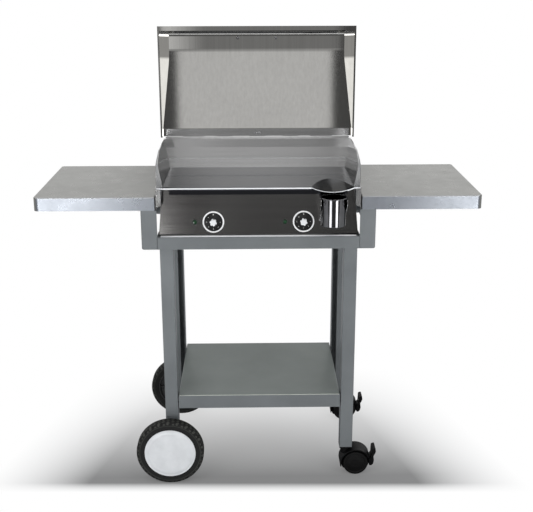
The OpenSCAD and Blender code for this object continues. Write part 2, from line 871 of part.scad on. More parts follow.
module splash_guard() {
    ring_out = guard_foot_x + 2.5;
    ring_in = plate_x - 14;
    ring_front = panel_y(body_top) + body_t;
    seat_z = plate_bottom - guard_t;
    hem_x = guard_x - guard_t;
    color([0.5, 0.51, 0.52]) {
        difference() {
            union() {
                difference() {
                    guard_block(0);
                    guard_block(guard_t);
                }
                both_sides()
                    box([guard_top_x, guard_rise_y, guard_top - 8], [hem_x, ledge_back, guard_top]);
            }
            along_x(-guard_x - 1, guard_x + 1)
                difference() {
                    translate([guard_front - 20, plate_top])
                        square([plate_back - guard_front, guard_top - plate_top + 10]);
                    rounded(concat([[guard_back + 40, plate_top - 5], [guard_back + 40, guard_top],
                        guard_side[2]], [guard_side[1], guard_side[0]],
                        [[guard_side[0][0], plate_top - 5]]), [0, 0, 0, guard_r, 0, 0]);
                }
        }
        difference() {
            box([-ring_out, ring_front, seat_z], [ring_out, body_back, plate_bottom]);
            box([-ring_in, ring_front + 14, seat_z - 1], [ring_in, plate_back - 14, plate_bottom + 1]);
            dip_rod(dip_clear_r);
        }
        along_x(-hem_x, hem_x)
            polygon([[guard_back, guard_top - guard_t], [ledge_back, guard_top - guard_t],
                [ledge_back, guard_top], [guard_back, guard_top]]);
        for (x = [-1, 1] * guard_x * 0.6) {
            stop_y = hinge_y + hinge_r + 0.4;
            stop_z = guard_top - guard_t + 0.1;
            along_x(x - 9, x + 9)
                folded([[ledge_back - 8, stop_z], [stop_y, stop_z], [stop_y, hood_z + 20]],
                    -1.5, 1);
            box([x - 9, hood_y + hood_back_h + 0.3, hood_z + 12],
                [x + 9, stop_y + 0.5, hood_z + 20]);
        }
    }
}

module side_panel() {
    r = 8;
    wing_low = skirt_bottom + r + 1;
    wing_high = plate_top - 2;
    outline = [[wing_y, skirt_bottom], [ledge_back, skirt_bottom], [ledge_back, guard_top],
        guard_side[2], guard_side[1], guard_side[0], [wing_y, plate_top + 2]];
    color([0.5, 0.51, 0.52]) {
        along_x(-guard_x, -guard_x + guard_t) rounded(outline, [r, r, 0, 0, guard_r, 0, 3]);
        along_y(wing_y, wing_y + guard_t)
            rounded([[-guard_x + guard_t / 2, wing_low], [-guard_x + wing_w, wing_low],
                [-guard_x + wing_w, wing_high], [-guard_x + guard_t / 2, wing_high]],
                [0, r, 3, 0]);
    }
}

// Heating elements: a loop of tube at each side, held under the plate on a baffle
element_r = 4;
element_mid = 32.5;
element_edge = 45.5;
element_step = 60;
element_out = (plate_x - element_edge - element_mid) / 2;
element_in = element_out - element_step;
element_x = element_mid + element_out;
element_y = 122;
element_back = 220;
element_z = plate_bottom - element_r - seat;
baffle_z = element_z - 12;

module half_ring(r, tube) {
    intersection() {
        rotate_extrude() translate([r, 0]) circle(tube);
        translate([-r - 2 * tube, 0, -tube]) cube([2 * r + 4 * tube, r + 2 * tube, 2 * tube]);
    }
}

module heating_elements() {
    inner = element_in;
    outer = element_out;
    front = element_y;
    back = element_back;
    color([0.3, 0.28, 0.27])
        for (s = [-1, 1])
            translate([s * element_x, 0, element_z]) {
                for (x = [-outer, -inner, inner, outer])
                    rod_y([x, front, 0], back - front, element_r);
                for (m = [0, 1])
                    mirror([m, 0, 0]) translate([(inner + outer) / 2, back, 0])
                        half_ring((outer - inner) / 2, element_r);
                translate([0, front, 0]) mirror([0, 1, 0]) half_ring(inner, element_r);
                for (x = [-outer, outer])
                    rod_z([x, front, -40], 40 + element_r / 2, element_r - 1);
            }
}

module heat_shield() {
    t = 0.8;
    wall = plate_x - 30;
    floor_z = body_z + body_t;
    posts = [element_y + 23, element_back - 15];
    color([0.62, 0.63, 0.64]) {
        difference() {
            along_y(56, body_back - 20)
                folded([[-wall - 12, floor_z], [-wall, floor_z], [-wall, baffle_z],
                    [wall, baffle_z], [wall, floor_z], [wall + 12, floor_z]], t, 0.7);
            for (s = [-1, 1], x = [-element_out, element_out])
                rod_z([s * element_x + x, element_y, baffle_z - 5], 10, element_r + 1);
        }
        for (s = [-1, 1], x = [-element_out, -element_in, element_in, element_out], y = posts)
            box([s * element_x + x - 5, y - 0.5, baffle_z - eps],
                [s * element_x + x + 5, y + 0.5, element_z - element_r]);
    }
}

shaft_r = 3;
stat_w = 38;
stat_h = 32;
stat_d = 20;
stat_cap = 4;

module thermostats() {
    color([0.75, 0.72, 0.62])
        for (s = [-1, 1])
            on_panel() translate([s * dial_x, 0, dial_z]) difference() {
                union() {
                    box([-stat_w / 2, body_t, -stat_h / 2], [stat_w / 2, stat_d, stat_h / 2]);
                    box([-stat_w / 2 + 7, stat_d - eps, -stat_h / 2 + 7],
                        [stat_w / 2 - 7, stat_d + stat_cap, stat_h / 2 - 7]);
                }
                rod_y([0, 0, 0], stat_d - 2, shaft_r + fit);
            }
}

// Controls, built in the frame of the front panel
module at_dial(s) on_panel() translate([s * dial_x, 0, dial_z]) rotate([90, 0, 0]) children();

module dial_rings() {
    color([0.9, 0.9, 0.9])
        for (s = [-1, 1])
            at_dial(s) {
                difference() {
                    cylinder(h = 2, r = ring_d / 2);
                    translate([0, 0, -1]) cylinder(h = 4, r = dial_d / 2 + 0.5);
                }
                translate([0, 0, 2 - eps]) linear_extrude(0.4)
                    polygon([[-3, ring_d / 2 - 0.5], [0, dial_d / 2 + 0.9], [3, ring_d / 2 - 0.5]]);
            }
}

module dial(s) {
    color([0.06, 0.06, 0.06])
        at_dial(s) {
            rotate_extrude() polygon([[0, -16], [shaft_r, -16], [shaft_r, 0.4],
                [dial_d / 2 - 1, 0.4], [dial_d / 2, 1.4], [dial_d / 2, 3.2], [dial_d / 2 - 1.2, 4.4],
                [12, 5], [0, 5]]);
            marks = 6;
            for (i = [0:marks - 1])
                rotate([0, 0, -i * 45]) translate([-0.8, dial_d / 2 - 6.5, 4.2]) cube([1.6, 4, 0.8]);
        }
}

module dial_cap(s) {
    lobes = 6;
    color([0.8, 0.8, 0.8])
        at_dial(s) translate([0, 0, 5]) {
            difference() {
                cylinder(h = 12, r = grip_d / 2);
                for (i = [0:lobes - 1])
                    rotate([0, 0, (i + 0.25) * 360 / lobes]) translate([grip_d / 2 + 2.2, 0, -1])
                        cylinder(h = 14, r = 4.2);
            }
        }
}

module indicator_lamps() {
    color([0.1, 0.3, 0.16])
        for (s = [-1, 1])
            on_panel() translate([s * dial_x - lamp_off, 0, dial_z]) rotate([90, 0, 0])
                rotate_extrude()
                    polygon([[0, -9], [lamp_d / 2 - 1.5, -9], [lamp_d / 2 - 1.5, 0],
                        [lamp_d / 2, 0], [lamp_d / 2, 1.6], [lamp_d / 2 - 1.4, 2.2],
                        [lamp_d / 2 - 1.4, 3], [lamp_d / 2 - 2.6, 4.2], [0, 4.8]]);
}

// Grease cup and its holder
module cup_holder() {
    in_x = cup_r + 0.6;
    out_x = in_x + holder_t;
    top_z = cup_top - cup_rim - 0.1;
    low_z = cup_bottom + 2.5;
    back = -body_t * 0.02;
    function wall_y(z) = panel_y(z) + back;
    color([0.72, 0.73, 0.74])
        difference() {
            union() {
                for (s = [-1, 1])
                    along_x(cup_x + (s > 0 ? in_x : -out_x), cup_x + (s > 0 ? out_x : -in_x))
                        rounded([[wall_y(low_z), low_z], [wall_y(top_z), top_z],
                            [cup_y - cup_r + 5, top_z], [cup_y - cup_r + 5, top_z - 14]],
                            [0, 0, 3, 4]);
                along_x(cup_x - out_x, cup_x + out_x)
                    polygon([[wall_y(low_z), low_z], [wall_y(top_z), top_z],
                        [wall_y(top_z) - holder_t, top_z], [wall_y(low_z) - holder_t, low_z]]);
            }
            for (s = [-1, 1]) at_cup_screw(s) translate([0, 0, -5]) cylinder(h = 10, r = 2.05);
        }
}
cup_screw_z = body_h - 20;
module at_cup_screw(s) {
    on_panel() translate([cup_x + s * 22, 0, cup_screw_z]) rotate([90, 0, 0]) children();
}
module cup_screws() {
    color([0.75, 0.75, 0.76])
        for (s = [-1, 1]) at_cup_screw(s) translate([0, 0, holder_t + fit]) bolt(4, holder_t + 2);
}

module grease_cup() {
    in_r = cup_r - cup_t;
    color([0.85, 0.85, 0.86])
        translate([cup_x, cup_y, 0]) rotate_extrude()
            rounded([[0, cup_bottom], [cup_r, cup_bottom], [cup_r, cup_top - cup_rim],
                [cup_r + cup_rim, cup_top - cup_rim], [cup_r + cup_rim, cup_top], [in_r, cup_top],
                [in_r, cup_bottom + cup_t], [0, cup_bottom + cup_t]],
                [0, 1.5, 0, 1.2, 1.2, 1, 0, 0]);
}

// Hood
hood_profile = [[hood_y, hood_z], [hood_y + hood_back_h, hood_z],
    [hood_y + hood_back_h, hood_z + hood_strip],
    [hood_back_y, hood_z + hood_strip + (hood_h - hood_back_h) * 2.26], [hood_back_y, hood_top],
    [hood_y, hood_top]];
hood_bend = [0, 0, 4, 110, 25, 0];

module hood_block(i) {
    skew = hood_flare * (hood_h + 20);
    intersection() {
        along_x(-hood_x, hood_x)
            if (i == 0) rounded(hood_profile, hood_bend);
            else {
                inner = beside(concat([hood_profile[0] + [0, -40]],
                    [for (k = [1:4]) hood_profile[k] + (k == 1 ? [0, -40] : [0, 0])],
                    [hood_profile[5] + [-40, 0]]), i);
                rounded(concat([[hood_y - 1, hood_z - 1]], [[inner[1][0], hood_z - 1]],
                    [for (k = [2:4]) inner[k]], [[hood_y - 1, hood_top - i]]),
                    [0, 0, 4 + i, 110 - i, 25 - i, 0]);
            }
        along_z(hood_z - 1, hood_top + 1)
            polygon([[-hood_x + i - hood_flare, hood_y - 1], [hood_x - i + hood_flare, hood_y - 1],
                [hood_x - i - skew, hood_y + hood_h + 20], [-hood_x + i + skew, hood_y + hood_h + 20]]);
    }
}

module hood_shell() {
    color([0.66, 0.66, 0.65])
        difference() {
            union() {
                difference() {
                    hood_block(0);
                    hood_block(hood_t);
                }
                box([-hood_x, hood_y, hood_top - hood_t],
                    [hood_x, hood_y + hood_t, hood_top + hood_flange]);
                both_sides() box([-hood_x, hood_y, hood_z], [-hood_x + 5, hood_y + hood_t, hood_top]);
            }
            for (s = [-1, 1])
                rod_y([s * handle_cc / 2, hood_back_y - 5, handle_z], 10, 2.6);
            for (x = hinge_screw_x) rod_y([x, hinge_y, hinge_screw_z], 10, 2.05);
        }
}

hinge_screw_x = [-hinge_x + 8.8, -5.3, 5.3, hinge_x - 8.8];
hinge_screw_z = hood_z + 9.5;
function knuckle_x(i) = -hinge_x + i * (2 * hinge_x) / knuckles;
function knuckle_w() = 2 * hinge_x / knuckles - knuckle_gap;

module hinge_knuckle(x) {
    translate([x + knuckle_gap / 2, hinge_y, hinge_z]) rotate([0, 90, 0])
        difference() {
            cylinder(h = knuckle_w(), r = hinge_r);
            translate([0, 0, -1]) cylinder(h = knuckle_w() + 2, r = hinge_pin_r + fit);
        }
}

module knuckle_web(x, a, b) {
    difference() {
        box([x + knuckle_gap / 2, a[0], a[1]], [x + knuckle_gap / 2 + knuckle_w(), b[0], b[1]]);
        rod_x([x, hinge_y, hinge_z], 2 * knuckle_w(), hinge_r - 0.5);
    }
}

module hinge_leaf_fixed() {
    z0 = guard_top;
    color([0.5, 0.51, 0.52]) {
        box([-hinge_x, leaf_front, z0], [hinge_x, hinge_y - hinge_r - 0.6, z0 + leaf_t]);
        for (i = [0:2:knuckles - 1]) {
            hinge_knuckle(knuckle_x(i));
            knuckle_web(knuckle_x(i), [hinge_y - hinge_r - 1, z0], [hinge_y - 1, z0 + leaf_t]);
        }
    }
}

module hinge_leaf_moving() {
    y0 = hinge_y + 0.1;
    color([0.5, 0.51, 0.52])
        difference() {
            union() {
                box([-hinge_x, y0, hood_z], [hinge_x, y0 + leaf_t, hood_z + leaf_h]);
                for (i = [1:2:knuckles - 1]) {
                    hinge_knuckle(knuckle_x(i));
                    knuckle_web(knuckle_x(i), [y0, hinge_z + 1], [y0 + leaf_t, hood_z + 0.5]);
                }
            }
            for (x = hinge_screw_x) rod_y([x, hinge_y - 5, hinge_screw_z], 10, 2.05);
        }
}

module hinge_pin() {
    color([0.75, 0.75, 0.76]) rod_x([-hinge_x - 2, hinge_y, hinge_z], 2 * hinge_x + 4, hinge_pin_r);
}

module hinge_screws() {
    color([0.8, 0.8, 0.8])
        for (x = hinge_screw_x)
            translate([x, hinge_y + 0.1, hinge_screw_z]) rotate([90, 0, 0]) bolt(4, 6, 0.22);
}

module hood_handle() {
    r = handle_d / 2;
    bend = 12;
    reach = handle_h - bend;
    color([0.7, 0.71, 0.72])
        translate([0, hood_back_y, handle_z])
            difference() {
                union() {
                    rod_x([-handle_cc / 2 + bend, handle_h, 0], handle_cc - 2 * bend, r);
                    both_sides() {
                        rod_y([-handle_cc / 2, 0, 0], reach, r);
                        translate([-handle_cc / 2 + bend, reach, 0])
                            intersection() {
                                rotate_extrude() translate([bend, 0]) circle(r);
                                translate([-bend - r - 1, 0, -r - 1])
                                    cube([bend + r + 1, bend + r + 1, 2 * r + 2]);
                            }
                    }
                }
                both_sides() rod_y([-handle_cc / 2, -1, 0], 15, 2.55);
            }
}

module handle_screws() {
    color([0.75, 0.75, 0.76])
        for (s = [-1, 1])
            translate([s * handle_cc / 2, hood_back_y - hood_t, handle_z]) rotate([90, 0, 0])
                bolt(5, 12);
}

// Assembly: every piece in its place, the origin under the middle of the whole object
module in_place() translate([0, -mid_y, 0]) children();

in_place() wheel_leg();  // leg_front_left
in_place() at_right() leg();  // leg_front_right
in_place() at_rear() wheel_leg();  // leg_rear_left
in_place() at_rear() at_right() leg();  // leg_rear_right
in_place() apron();  // front_apron
in_place() at_rear() apron();  // rear_apron
in_place() side_rail();  // side_rail_left
in_place() at_right() side_rail();  // side_rail_right
in_place() lower_shelf();
in_place() shelf_bolts();
in_place() side_table();  // side_table_left
in_place() at_right() side_table();  // side_table_right
in_place() table_bracket();  // table_bracket_left
in_place() at_right() table_bracket();  // table_bracket_right
in_place() bracket_bolts();
in_place() wheel_axle();
in_place() axle_clips();
in_place() wheel_spacers();
in_place() tyre();  // tyre_front
in_place() at_rear() tyre();  // tyre_rear
in_place() rim();  // rim_front
in_place() at_rear() rim();  // rim_rear
in_place() wheel_cover();  // wheel_cover_front
in_place() at_rear() wheel_cover();  // wheel_cover_rear
in_place() caster_sockets();
in_place() at_front_caster() caster_body();  // caster_body_front
in_place() at_rear_caster() caster_body();  // caster_body_rear
in_place() at_front_caster() caster_axle();  // caster_axle_front
in_place() at_rear_caster() caster_axle();  // caster_axle_rear
in_place() at_front_caster() caster_wheels();  // caster_wheels_front
in_place() at_rear_caster() caster_wheels();  // caster_wheels_rear
in_place() at_front_caster() caster_brake();  // caster_brake_front
in_place() at_rear_caster() caster_brake();  // caster_brake_rear
in_place() griddle_body();
in_place() griddle_feet();
in_place() control_panel();
in_place() cooking_plate();
in_place() splash_guard();
in_place() side_panel();  // side_panel_left
in_place() at_right() side_panel();  // side_panel_right
in_place() heating_elements();
in_place() heat_shield();
in_place() thermostats();
in_place() dial_rings();
in_place() dial(-1);  // dial_left
in_place() dial(1);  // dial_right
in_place() dial_cap(-1);  // dial_cap_left
in_place() dial_cap(1);  // dial_cap_right
in_place() indicator_lamps();
in_place() cable_gland();
in_place() cup_holder();
in_place() cup_screws();
in_place() grease_cup();
in_place() hood_shell();
in_place() hinge_leaf_fixed();
in_place() hinge_leaf_moving();
in_place() hinge_pin();
in_place() hinge_screws();
in_place() hood_handle();
in_place() handle_screws();
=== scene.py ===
"""Looks of the electric griddle on its cart: paint, brushed steel, plate, rubber and lamps."""

import json
import math

import bpy
import numpy as np
from mathutils import Matrix, Vector


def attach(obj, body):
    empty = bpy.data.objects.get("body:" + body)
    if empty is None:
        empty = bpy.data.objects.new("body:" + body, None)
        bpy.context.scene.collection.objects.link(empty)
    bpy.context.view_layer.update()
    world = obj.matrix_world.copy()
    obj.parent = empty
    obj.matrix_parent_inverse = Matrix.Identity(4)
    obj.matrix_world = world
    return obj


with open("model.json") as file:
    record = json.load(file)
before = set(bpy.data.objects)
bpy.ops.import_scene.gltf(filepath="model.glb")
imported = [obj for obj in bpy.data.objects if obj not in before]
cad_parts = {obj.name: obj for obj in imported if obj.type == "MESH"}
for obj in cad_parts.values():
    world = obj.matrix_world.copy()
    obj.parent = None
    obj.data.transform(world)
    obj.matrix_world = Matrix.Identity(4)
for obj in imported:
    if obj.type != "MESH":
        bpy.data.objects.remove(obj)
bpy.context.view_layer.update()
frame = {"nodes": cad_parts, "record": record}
NODES = frame["nodes"]
MM = 0.001

# Measures of the part, in metres. Depths are counted from the face of the front apron, which the row's
# origin lies this far behind.
BACK_SHIFT = 0.20525
TABLE_TOP = 0.871
SHELF_TOP = 0.267
NOSE_BACK = 0.013
WHEEL_X, WHEEL_Z = -0.2666, 0.1

# The sloping control panel: a point at its foot, its outward normal and its way up
PANEL_FOOT = Vector((0, 0.020 - BACK_SHIFT, 0.758))
PANEL_LEAN = math.atan(13 / 128.8)
PANEL_OUT = Vector((0, -math.cos(PANEL_LEAN), math.sin(PANEL_LEAN)))
PANEL_UP = Vector((0, math.sin(PANEL_LEAN), math.cos(PANEL_LEAN)))

# Its controls: height up the panel, dials left and right of the middle, a lamp to the left of each
CONTROL_Z, DIAL_X, LAMP_OFFSET = 0.035, 0.1275, 0.0525


# ---------------------------------------------------------------- camera

def aim_camera():
    """The photograph's camera: place, three turns and focal length from a fit to the cart's edges."""
    place = Vector((-0.0186, -2.5503 - BACK_SHIFT, 1.4858))
    yaw, pitch, roll = 0.0159, 0.2995, -0.0023
    photo_width, focal_pixels, sensor = 533, 941.5, 36
    ahead = Vector((math.sin(yaw) * math.cos(pitch), math.cos(yaw) * math.cos(pitch), -math.sin(pitch)))
    level_right = Vector((math.cos(yaw), -math.sin(yaw), 0))
    level_up = level_right.cross(ahead)
    right = math.cos(roll) * level_right + math.sin(roll) * level_up
    up = -math.sin(roll) * level_right + math.cos(roll) * level_up
    lens = bpy.data.cameras.new("photo_camera")
    lens.sensor_fit = "HORIZONTAL"
    lens.sensor_width = sensor
    lens.lens = focal_pixels / photo_width * sensor
    lens.clip_start = 0.05
    camera = bpy.data.objects.new("photo_camera", lens)
    bpy.context.scene.collection.objects.link(camera)
    turn = Matrix((right, up, -ahead)).transposed().to_4x4()
    camera.matrix_world = Matrix.Translation(place) @ turn
    bpy.context.scene.camera = camera


aim_camera()


# ---------------------------------------------------------------- shader maths

def linear(r, g, b):
    """Screen colour 0-255 to the linear value that renders as it."""
    c = np.array([r, g, b]) / 255
    return (*np.where(c <= 0.04045, c / 12.92, ((c + 0.055) / 1.055) ** 2.4), 1.0)


class Amount:
    """A number, colour or vector on a shader socket; arithmetic on a number adds Math nodes."""

    def __init__(self, graph, socket):
        self.graph, self.socket = graph, socket

    def maths(self, operation, *values, clamp=False):
        """The operation on the values given; the amount itself takes part only if it is among them."""
        return self.graph.node("Math", {"operation": operation, "use_clamp": clamp}, *values)

    def __add__(self, other):
        return self.maths("ADD", self, other)

    def __sub__(self, other):
        return self.maths("SUBTRACT", self, other)

    def __rsub__(self, other):
        return self.maths("SUBTRACT", other, self)

    def __mul__(self, other):
        return self.maths("MULTIPLY", self, other)

    def __pow__(self, other):
        return self.maths("POWER", self, other)

    __radd__, __rmul__ = __add__, __mul__

    def sine(self):
        return self.maths("SINE", self)

    def size(self):
        return self.maths("ABSOLUTE", self)

    def within(self, start, end):
        """0 at start and before it, 1 at end and past it, a straight ramp between; end may be the lower one."""
        return self.maths("MULTIPLY", self - start, 1 / (end - start), clamp=True)


class Graph:
    """A node tree, and the place that its patterns are laid out in."""

    def __init__(self, tree, coordinates):
        self.tree = tree
        self.place = self.node("TexCoord", out=coordinates)

    def feed(self, socket, value):
        """A link from an amount, or else a constant."""
        if isinstance(value, Amount):
            self.tree.links.new(value.socket, socket)
        else:
            socket.default_value = value

    def node(self, kind, settings=None, *values, out=0, **named):
        """A node of that kind: its settings first, then the values or links of its sockets."""
        made = self.tree.nodes.new("ShaderNode" + kind)
        for key, value in (settings or {}).items():
            setattr(made, key, value)
        for key, value in [*enumerate(values), *((k.replace("_", " "), v) for k, v in named.items())]:
            self.feed(made.inputs[key], value)
        return Amount(self, made.outputs[out])

    def axis(self, letter):
        return self.node("SeparateXYZ", {}, self.place, out=letter.upper())

    def mix(self, factor, a, b):
        """Colour a at 0, colour b at 1."""
        made = self.tree.nodes.new("ShaderNodeMix")
        made.data_type = "RGBA"
        factor_socket, a_socket, b_socket, colour_out = 0, 6, 7, 2   # the node's sockets for colours
        for key, value in ((factor_socket, factor), (a_socket, a), (b_socket, b)):
            self.feed(made.inputs[key], value)
        return Amount(self, made.outputs[colour_out])


class Finish(Graph):
    """One material: its surface shader, and the nodes that vary it."""

    def __init__(self, name, colour, roughness, metallic=0.0, **sockets):
        self.material = bpy.data.materials.new(name)
        self.material.use_nodes = True
        super().__init__(self.material.node_tree, "Object")
        self.surface = self.tree.nodes["Principled BSDF"]
        self.set("Base Color", linear(*colour))
        self.set("Roughness", roughness)
        self.set("Metallic", metallic)
        for key, value in sockets.items():
            self.set(key.replace("_", " "), value)

    def set(self, key, value):
        self.feed(self.surface.inputs[key], value)

    def noise(self, x, y=None, z=None, detail=3.0):
        """Cloudy noise from 0 to 1 with that many patterns per metre along x, y and z."""
        y, z = x if y is None else y, x if z is None else z
        stretched = self.node("VectorMath", {"operation": "MULTIPLY"}, self.place, (x, y, z))
        return self.node("TexNoise", {}, Vector=stretched, Scale=1.0, Detail=detail, Roughness=0.5)

    def depth(self):
        """Depth behind the face of the front apron."""
        return self.axis("y") + BACK_SHIFT

    def shade(self, factor, low, high):
        """Colour between two screen colours, set by a factor from 0 to 1."""
        return self.mix(factor, linear(*low), linear(*high))

    def drift(self, low, high, per_metre=6):
        """Colour that changes slowly over the surface between two screen colours."""
        return self.shade(self.noise(per_metre, detail=4).within(0.3, 0.7), low, high)

    def bump(self, height, strength, distance):
        self.set("Normal", self.node("Bump", {}, Strength=strength, Distance=distance, Height=height,
                                     out="Normal"))
        return self


# ---------------------------------------------------------------- finishes

def coat(made, colour, roughness):
    """Powder coat of that colour: faint rubbed patches and fine orange peel."""
    made.set("Base Color", colour)
    made.set("Roughness", roughness + 0.12 * (made.noise(25, detail=3) - 0.5))
    return made.bump(made.noise(900, detail=2), 0.12, 0.0004).material


CART_GREY = (100, 104, 106), (112, 116, 118)
CART_GLOSS = 0.42, 0.35   # roughness and metallic
TABLE_GLOSS = 0.29, 0.85


def cart_coat():
    """The cart's grey coat with a slow drift of shade."""
    made = Finish("cart_grey", CART_GREY[0], *CART_GLOSS)
    return coat(made, made.drift(*CART_GREY), CART_GLOSS[0])


def table_coat():
    """The tables' silver coat, with a painted bluish reflection on the lip that faces the front and a painted
    highlight along its fold.
    """
    top = (128, 128, 124), (138, 138, 134)
    # The lip's colour is bluer than the top's: a painted reflection
    lip = (127, 131, 137), (135, 139, 145)
    made = Finish("table_grey", top[0], *TABLE_GLOSS)
    front = 1 - made.depth().within(0.0012, 0.0024)
    # The fold's light grey is a painted highlight
    fold = front * made.axis("z").within(TABLE_TOP - 0.0032, TABLE_TOP - 0.0022)
    colour = made.mix(front, made.drift(*top), made.drift(*lip))
    return coat(made, made.mix(fold, colour, linear(196, 198, 200)), TABLE_GLOSS[0])


def shelf_coat():
    """The cart's coat on the shelf, its top face painted lighter than its folded sides: painted light on the
    top.
    """
    made = Finish("shelf_grey", CART_GREY[0], *CART_GLOSS)
    # Painted light: the top face gets a lighter copy of the coat than the folded sides
    top = made.axis("z").within(SHELF_TOP - 0.0009, SHELF_TOP - 0.0004)
    colour = made.mix(top, made.drift(*CART_GREY), made.drift((116, 122, 119), (128, 134, 131)))
    return coat(made, colour, CART_GLOSS[0])


def steel(name, low, high, along="x", roughness=0.3, grain=0.12, relief=0.08):
    """Brushed steel, its grain drawn out along one axis in colour, gloss and height: the finish, its colour
    and the height of the grain."""
    made = Finish(name, low, roughness, 1.0)
    lines = made.noise(*(6 if letter == along else 1400 for letter in "xyz"), detail=2)
    bands = made.noise(*(2 if letter == along else 120 for letter in "xyz"), detail=3)
    cloud = made.noise(5, detail=2)
    colour = made.shade((0.45 * lines + 0.35 * bands + 0.2 * cloud).within(0.3, 0.7), low, high)
    made.set("Base Color", colour)
    made.set("Roughness", roughness + grain * (bands - 0.5) + grain * (lines - 0.5))
    return made.bump(lines, relief, 0.0002), colour, lines


def brushed(*choices, **more):
    """Plain brushed steel."""
    return steel(*choices, **more)[0].material


def moulded(name, low, high, roughness=0.5, texture=700, relief=0.15, **sockets):
    """Moulded plastic or rubber: fine spark texture and a slow change of gloss."""
    made = Finish(name, low, roughness, **sockets)
    made.set("Base Color", made.drift(low, high, 30))
    made.set("Roughness", roughness + 0.15 * (made.noise(60) - 0.5))
    return made.bump(made.noise(texture, detail=2), relief, 0.0003).material


def bright_edge(name, low, high, roughness):
    """Light, nearly smooth surface for the painted highlights on edges and for the printed marks."""
    return moulded(name, low, high, roughness, texture=900, relief=0.02)


def plated(name, low, high, roughness):
    """Bright plating with faint haze."""
    made = Finish(name, low, roughness, 1.0)
    haze = made.noise(45, detail=4)
    made.set("Base Color", made.shade(haze.within(0.3, 0.7), low, high))
    made.set("Roughness", roughness + 0.06 * haze)
    return made.bump(made.noise(18), 0.03, 0.0005).material


def on_panel(made, centre_x=0.0):
    """Height above the panel, distance from the control's centre, and that split across and up the panel,
    for the two controls that lie DIAL_X to either side of centre_x."""
    centre = PANEL_FOOT + CONTROL_Z * PANEL_UP
    from_centre = made.node("VectorMath", {"operation": "SUBTRACT"}, made.place, centre)
    height = made.node("VectorMath", {"operation": "DOT_PRODUCT"}, from_centre, PANEL_OUT, out="Value")
    up = made.node("VectorMath", {"operation": "DOT_PRODUCT"}, from_centre, PANEL_UP, out="Value")
    across = (made.axis("x") - centre_x).size() - DIAL_X
    return height, (across * across + up * up) ** 0.5, across, up


def dial_face():
    """Glossy black disc whose upper raised mark, the pointer, is light, with fine turned rings."""
    disc_top, mark_start, mark_end, mark_half_width = 0.0049, 0.0150, 0.0247, 0.0014
    made = Finish("dial_black", (14, 14, 15), 0.16, Coat_Weight=0.4, Coat_Roughness=0.08)
    height, radius, across, up = on_panel(made)
    raised = height.within(disc_top, disc_top + 0.00006)
    along = radius.within(mark_start, mark_start + 0.0004) * (1 - radius.within(mark_end - 0.0004, mark_end))
    wide = 1 - across.size().within(mark_half_width - 0.0002, mark_half_width)
    pointer = raised * along * up.within(0.0, 0.001) * wide
    dust = made.noise(60, detail=4)
    black = made.shade(dust.within(0.3, 0.7), (11, 11, 12), (20, 20, 21))
    made.set("Base Color", made.mix(pointer, black, linear(196, 196, 192)))
    made.set("Roughness", 0.14 + 0.12 * dust + 0.3 * pointer)
    return made.bump((radius * 9000).sine(), 0.03, 0.0001).material


def tyre_rubber():
    """Black rubber with a knobbed tread and a ring pressed in the side wall, worn a little grey; knobs and ring
    carry a painted highlight.
    """
    tread_start, ring_start, ring_end, soft = 0.0925, 0.0885, 0.0915, 0.001
    made = Finish("tyre_rubber", (20, 20, 20), 0.8, Specular_IOR_Level=0.3)
    across, up = made.axis("x") - WHEEL_X, made.axis("z") - WHEEL_Z
    radius = (across * across + up * up) ** 0.5
    around = up.maths("ARCTAN2", up, across)
    knobs = ((around * 44).sine() + (made.axis("y") * 520 + around * 22).sine()).within(0.1, 0.7)
    knobs = knobs * radius.within(tread_start, tread_start + soft)
    ring = radius.within(ring_start, ring_start + soft) * (1 - radius.within(ring_end - soft, ring_end))
    worn = made.shade(made.noise(80, detail=4), (13, 13, 13), (25, 25, 24))
    # Painted highlight: the knobs and the pressed ring are lighter grey than the rubber
    made.set("Base Color", made.mix(0.75 * knobs + 0.5 * ring, worn, linear(66, 67, 63)))
    made.set("Roughness", 0.66 + 0.2 * made.noise(200))
    return made.bump(knobs + 0.4 * ring, 0.5, 0.0012).material


def panel_sheet():
    """Dark brushed sheet, bowed towards its left end: bow_depth metres for each metre squared past bow_start."""
    bow_start, bow_depth, grain_depth = 0.02, 0.075, 0.000016
    made, _, lines = steel("panel_steel", (100, 99, 98), (114, 113, 112), roughness=0.16, grain=0.05)
    past = made.axis("x") - bow_start
    left = past.maths("MINIMUM", past, 0.0)
    return made.bump(lines * grain_depth - left * left * bow_depth, 1.0, 1.0).material


def griddle_plate():
    """Polished plate whose folded nose is painted dark: painted shade between the nose and the panel."""
    made, colour, _ = steel("plate_steel", (76, 77, 80), (90, 91, 94), roughness=0.1, grain=0.04)
    # Painted shade: the nose's front face is darkened
    nose = 1 - made.depth().within(NOSE_BACK - 0.0005, NOSE_BACK + 0.0005)
    made.set("Base Color", made.mix(nose, colour, linear(84, 85, 91)))
    return made.material


def lip_sheet():
    """White lip, a painted highlight, whose back under the panel's foot is painted dark: painted shadow."""
    made = Finish("lip_white", (222, 223, 224), 0.35)
    # Painted highlight in white at the front, painted shadow in black at the back under the panel's foot
    made.set("Base Color", made.shade(made.depth().within(0.0110, 0.0125), (226, 227, 228), (16, 16, 16)))
    made.set("Roughness", 0.35 + 0.15 * (made.noise(60) - 0.5))
    return made.bump(made.noise(900, detail=2), 0.02, 0.0003).material


def lamp_lens():
    """Dark green lens in a darker rim, painted lighter green in its middle: a painted glow."""
    lens_radius = 0.006
    made = Finish("lamp_lens", (14, 60, 36), 0.12, Coat_Weight=0.5, Coat_Roughness=0.05)
    radius = on_panel(made, -LAMP_OFFSET)[1]
    rim = radius.within(lens_radius - 0.0002, lens_radius + 0.0001)
    # Painted glow: the green is lighter in the middle, darker to the edge
    green = made.shade(radius.within(0.0, lens_radius), (10, 62, 30), (4, 34, 15))
    made.set("Base Color", made.mix(rim, green, linear(8, 22, 12)))
    made.set("Roughness", 0.12 + 0.1 * made.noise(300) + 0.15 * rim)
    return made.bump(made.noise(500), 0.05, 0.0002).material


